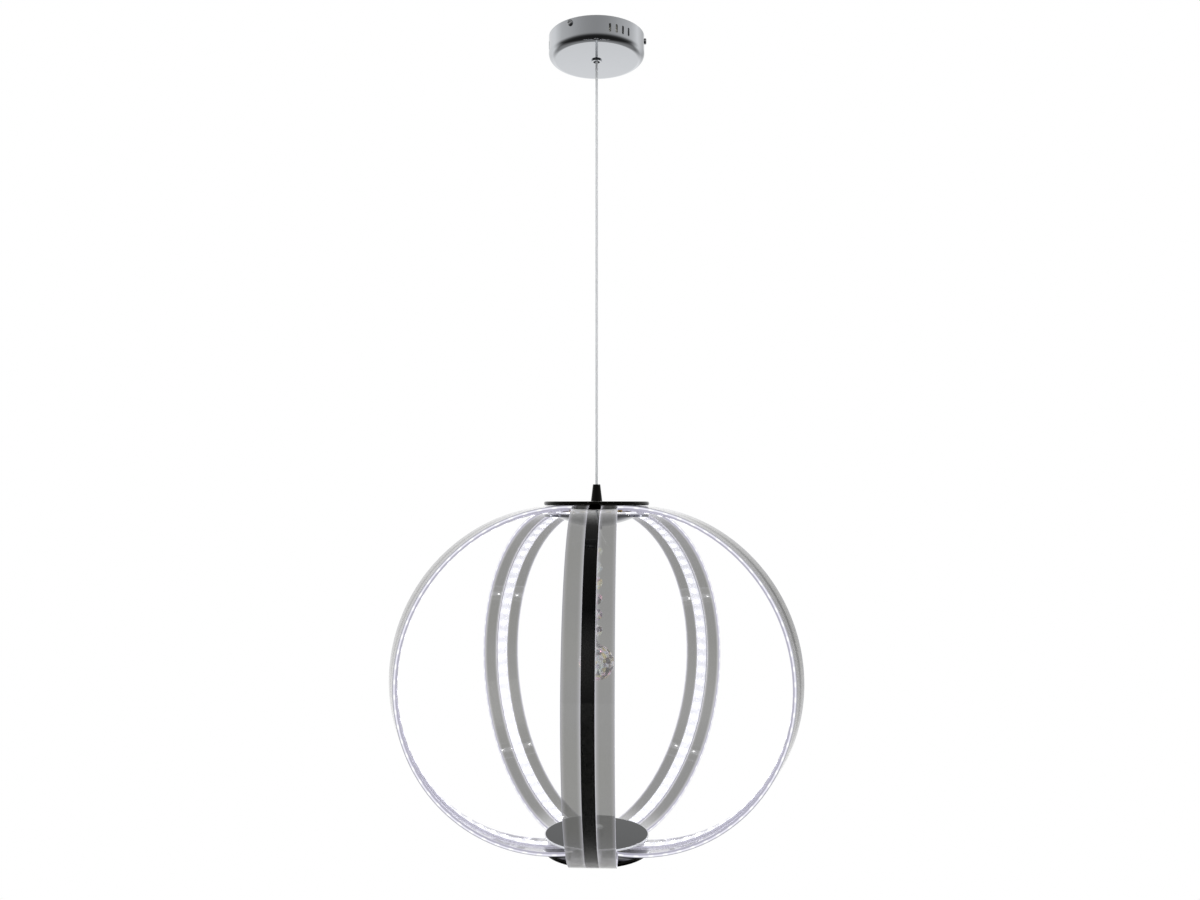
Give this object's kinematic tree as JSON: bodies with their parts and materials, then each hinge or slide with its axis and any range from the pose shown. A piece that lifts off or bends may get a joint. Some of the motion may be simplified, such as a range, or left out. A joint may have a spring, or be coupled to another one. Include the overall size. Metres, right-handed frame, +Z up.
{
  "type": "led pendant light",
  "caption": "Globe pendant light: bent clear acrylic bands with LED strips between hub discs, a crystal string inside, on a thin cable from a round ceiling canopy.",
  "frame": {"origin": "middle of the canopy on the ceiling plane", "axes": "+Z up to the ceiling, the lamp hangs towards -Z, the first band and the picture's view face -Y"},
  "size_m": [0.4922, 0.4681, 1.002],
  "materials": {
    "polished_chrome": "polished chrome plate",
    "smoked_chrome": "smoked mirror chrome",
    "black_chrome": "black chrome plate",
    "zinc_steel": "bright zinc on steel",
    "brass_screws": "plain brass",
    "clear_acrylic": "polished clear acrylic with a light smoke tint",
    "mirror_strip": "black mirror film on aluminium",
    "white_board": "white solder mask",
    "led_lens": "phosphor under clear silicone",
    "clear_cable": "clear PVC over a tinned core",
    "white_pvc": "white PVC",
    "driver_case": "moulded white plastic",
    "terminal_plastic": "moulded cream nylon",
    "splice_plastic": "nylon crimp sleeve",
    "nylon": "natural nylon",
    "crystal": "cut crystal with an iridescent coat",
    "bright_wire": "bright plated wire"
  },
  "bodies": {
    "canopy": {"ceiling_plate": "zinc_steel", "canopy_cup": "polished_chrome", "canopy_side_screws": "zinc_steel", "led_driver": "driver_case", "driver_screws": "zinc_steel", "terminal_block": "terminal_plastic", "terminal_screw": "zinc_steel", "mains_lead": "white_pvc", "output_lead": "white_pvc", "cable_bushing": "polished_chrome", "bushing_nut": "zinc_steel"},
    "cord": {"cable_ball": "zinc_steel", "suspension_cable": "clear_cable"},
    "grip": {"grip_cone": "black_chrome"},
    "globe": {"dome_cover": "polished_chrome", "cap_nut": "polished_chrome", "hook_finial": "polished_chrome", "bottom_cover": "smoked_chrome", "top_disc": "black_chrome", "bottom_disc": "black_chrome", "hub_nut": "zinc_steel", "hub_spacer": "zinc_steel", "bottom_spacer": "zinc_steel", "threaded_nipple": "zinc_steel", "centre_bolt": "zinc_steel", "top_tab_screws": "brass_screws", "bottom_tab_screws": "brass_screws", "acrylic_band_1": "clear_acrylic", "acrylic_band_2": "clear_acrylic", "acrylic_band_3": "clear_acrylic", "acrylic_band_4": "clear_acrylic", "acrylic_band_5": "clear_acrylic", "led_backing_1": "mirror_strip", "led_backing_2": "mirror_strip", "led_backing_3": "mirror_strip", "led_backing_4": "mirror_strip", "led_backing_5": "mirror_strip", "led_board_1": "white_board", "led_board_2": "white_board", "led_board_3": "white_board", "led_board_4": "white_board", "led_board_5": "white_board", "led_chips_1": "led_lens", "led_chips_2": "led_lens", "led_chips_3": "led_lens", "led_chips_4": "led_lens", "led_chips_5": "led_lens", "strip_leads": "white_pvc", "lead_splices": "splice_plastic", "top_tab_washers": "nylon", "bottom_tab_washers": "nylon"},
    "hook": {"s_hook": "bright_wire"},
    "crystal": {"bead_rings": "bright_wire", "crystal_beads": "crystal", "crystal_ball": "crystal", "ball_pin": "bright_wire"}
  },
  "joints": [
    {"name": "cord_swing", "type": "hinge", "parent": "canopy", "child": "cord", "pos_m": [0, 0, -0.022], "axis": [1, 0, 0], "range_deg": [-15, 15]},
    {"name": "globe_rock", "type": "hinge", "parent": "cord", "child": "grip", "pos_m": [0, 0, -0.558], "axis": [0, 1, 0], "range_deg": [-10, 10]},
    {"name": "globe_turn", "type": "hinge", "parent": "grip", "child": "globe", "pos_m": [0, 0, -0.572], "axis": [0, 0, 1], "range_deg": [-180, 180]},
    {"name": "hook_swing", "type": "hinge", "parent": "globe", "child": "hook", "pos_m": [0, 0, -0.60819], "axis": [1, 0, 0], "range_deg": [-20, 20]},
    {"name": "crystal_swing", "type": "hinge", "parent": "hook", "child": "crystal", "pos_m": [0, 0, -0.61729], "axis": [0, 1, 0], "range_deg": [-20, 20]}
  ]
}
